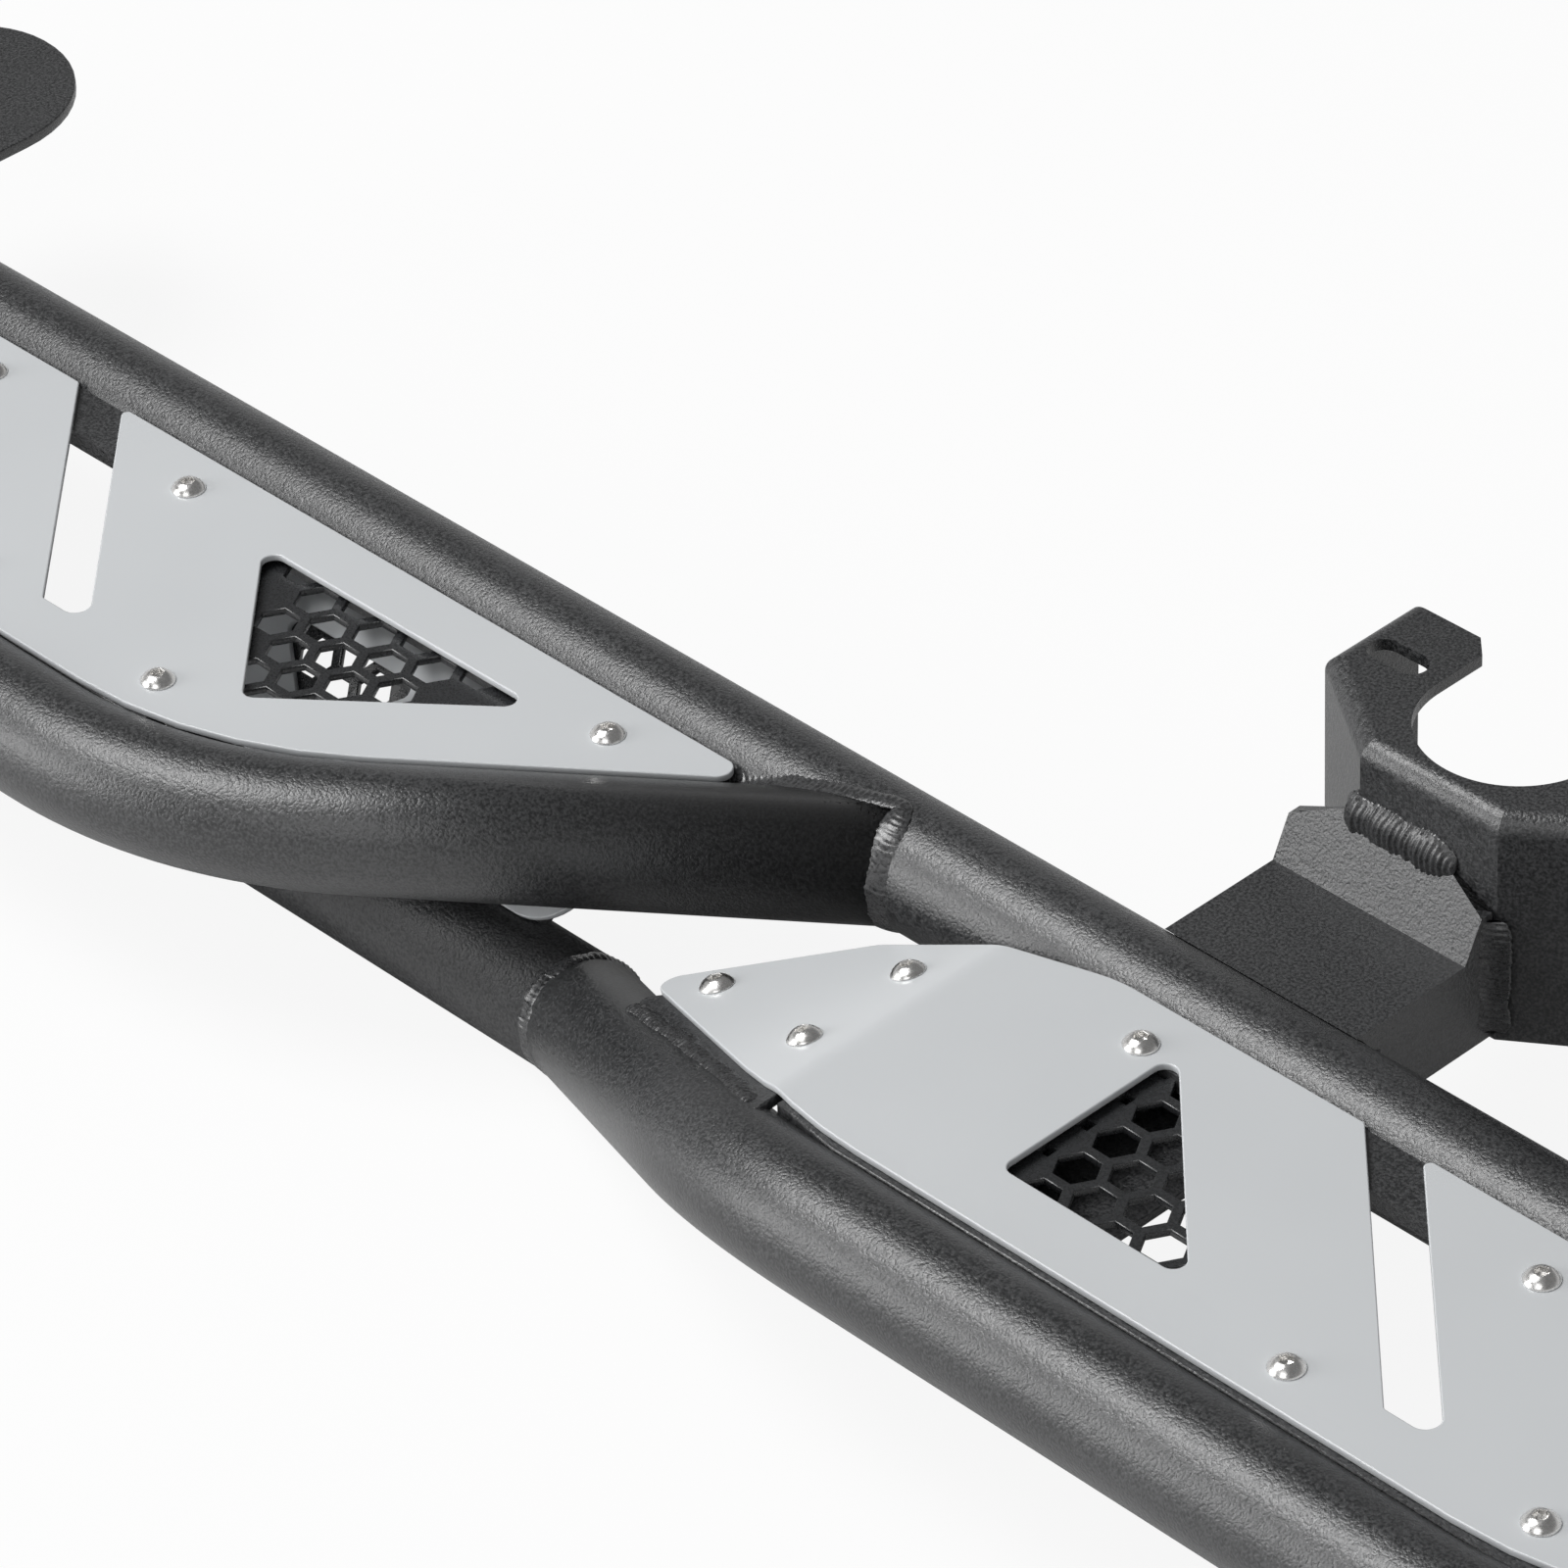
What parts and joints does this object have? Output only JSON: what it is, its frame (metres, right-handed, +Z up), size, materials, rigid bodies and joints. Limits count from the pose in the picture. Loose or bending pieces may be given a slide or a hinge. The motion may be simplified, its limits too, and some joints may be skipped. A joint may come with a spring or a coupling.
{
  "type": "pair of rock sliders",
  "caption": "Mirrored pair of tubular rock sliders with grey step plates over honeycomb windows, box arms, body-mount brackets and round-ended feet.",
  "frame": {"origin": "centre of the pair's overall box, midway between the two sliders", "axes": "+X forward along the sliders, +Y to the vehicle's left, +Z up; as mounted on the vehicle"},
  "size_m": [2.018, 1.399, 0.1754],
  "materials": {
    "powder_coat": "fine textured black powder coat",
    "grey_paint": "smooth light grey paint, satin",
    "mesh_coat": "satin black coat",
    "stainless": "bright stainless"
  },
  "bodies": {
    "root": {"right_main_rail": "powder_coat", "right_rail_caps": "powder_coat", "right_front_step_tube": "powder_coat", "right_rear_step_tube": "powder_coat", "right_lower_tube": "powder_coat", "right_front_step_plate": "grey_paint", "right_rear_step_plate": "grey_paint", "right_lower_plate": "grey_paint", "right_front_corner_mesh": "mesh_coat", "right_front_long_mesh": "mesh_coat", "right_rear_corner_mesh": "mesh_coat", "right_rear_long_mesh": "mesh_coat", "right_lower_mesh": "mesh_coat", "right_front_bar": "powder_coat", "right_rear_bar": "powder_coat", "right_outer_tabs": "powder_coat", "right_lower_tabs": "powder_coat", "right_fold_supports": "powder_coat", "right_plate_screws": "stainless", "right_body_bracket": "powder_coat", "right_bracket_arm": "powder_coat", "right_front_foot_plate": "powder_coat", "right_front_foot_arm": "powder_coat", "right_rear_foot_plate": "powder_coat", "right_rear_foot_arm": "powder_coat", "left_main_rail": "powder_coat", "left_rail_caps": "powder_coat", "left_front_step_tube": "powder_coat", "left_rear_step_tube": "powder_coat", "left_lower_tube": "powder_coat", "left_front_step_plate": "grey_paint", "left_rear_step_plate": "grey_paint", "left_lower_plate": "grey_paint", "left_front_corner_mesh": "mesh_coat", "left_front_long_mesh": "mesh_coat", "left_rear_corner_mesh": "mesh_coat", "left_rear_long_mesh": "mesh_coat", "left_lower_mesh": "mesh_coat", "left_front_bar": "powder_coat", "left_rear_bar": "powder_coat", "left_outer_tabs": "powder_coat", "left_lower_tabs": "powder_coat", "left_fold_supports": "powder_coat", "left_plate_screws": "stainless", "left_body_bracket": "powder_coat", "left_bracket_arm": "powder_coat", "left_front_foot_plate": "powder_coat", "left_front_foot_arm": "powder_coat", "left_rear_foot_plate": "powder_coat", "left_rear_foot_arm": "powder_coat"}
  },
  "joints": []
}
